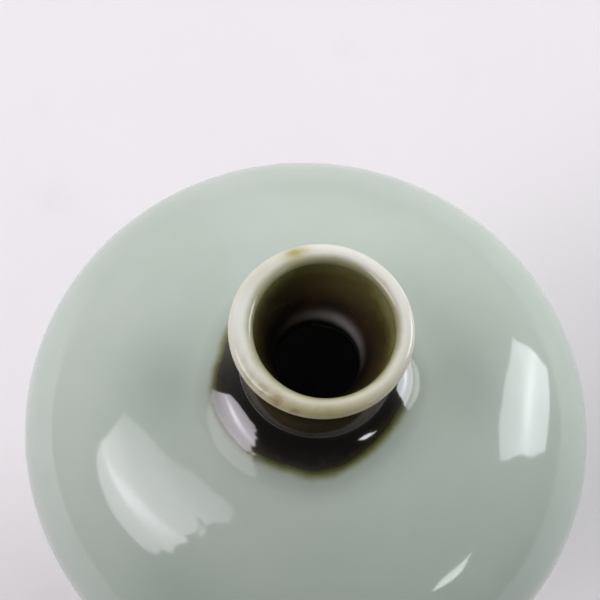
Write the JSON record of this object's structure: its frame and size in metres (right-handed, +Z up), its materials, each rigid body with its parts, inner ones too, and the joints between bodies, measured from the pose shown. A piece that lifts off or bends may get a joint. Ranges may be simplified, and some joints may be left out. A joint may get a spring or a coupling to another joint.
{
  "type": "porcelain vase",
  "caption": "Plum-vase form with a round belly, tapered body, short neck and rolled lip; pale green glaze with a brown neck and pool.",
  "frame": {"origin": "centre of the foot ring's underside, on the surface the vase stands on", "axes": "+Z up along the vase's axis of revolution; -Y is the front; the brown pool leans to the front and a little to the left"},
  "size_m": [0.18, 0.18, 0.2847],
  "materials": {
    "bare_porcelain": "unglazed, fired a warm buff",
    "porcelain": "pale fired body",
    "slip": "fired slip",
    "celadon": "glossy pale blue-green glaze",
    "iron_brown": "glossy iron-brown glaze, olive where thin",
    "ivory": "glossy ivory glaze with olive stains",
    "liner": "glossy grey-green liner glaze"
  },
  "bodies": {
    "root": {"foot_ring": "bare_porcelain", "base_floor": "porcelain", "lower_body": "porcelain", "belly_slip_seam": "slip", "upper_body": "porcelain", "neck_slip_seam": "slip", "neck_collar": "porcelain", "mouth_rim": "porcelain", "celadon_glaze": "celadon", "iron_glaze_collar": "iron_brown", "iron_glaze_lining": "iron_brown", "lip_glaze": "ivory", "interior_glaze": "liner", "base_glaze": "celadon"}
  },
  "joints": []
}
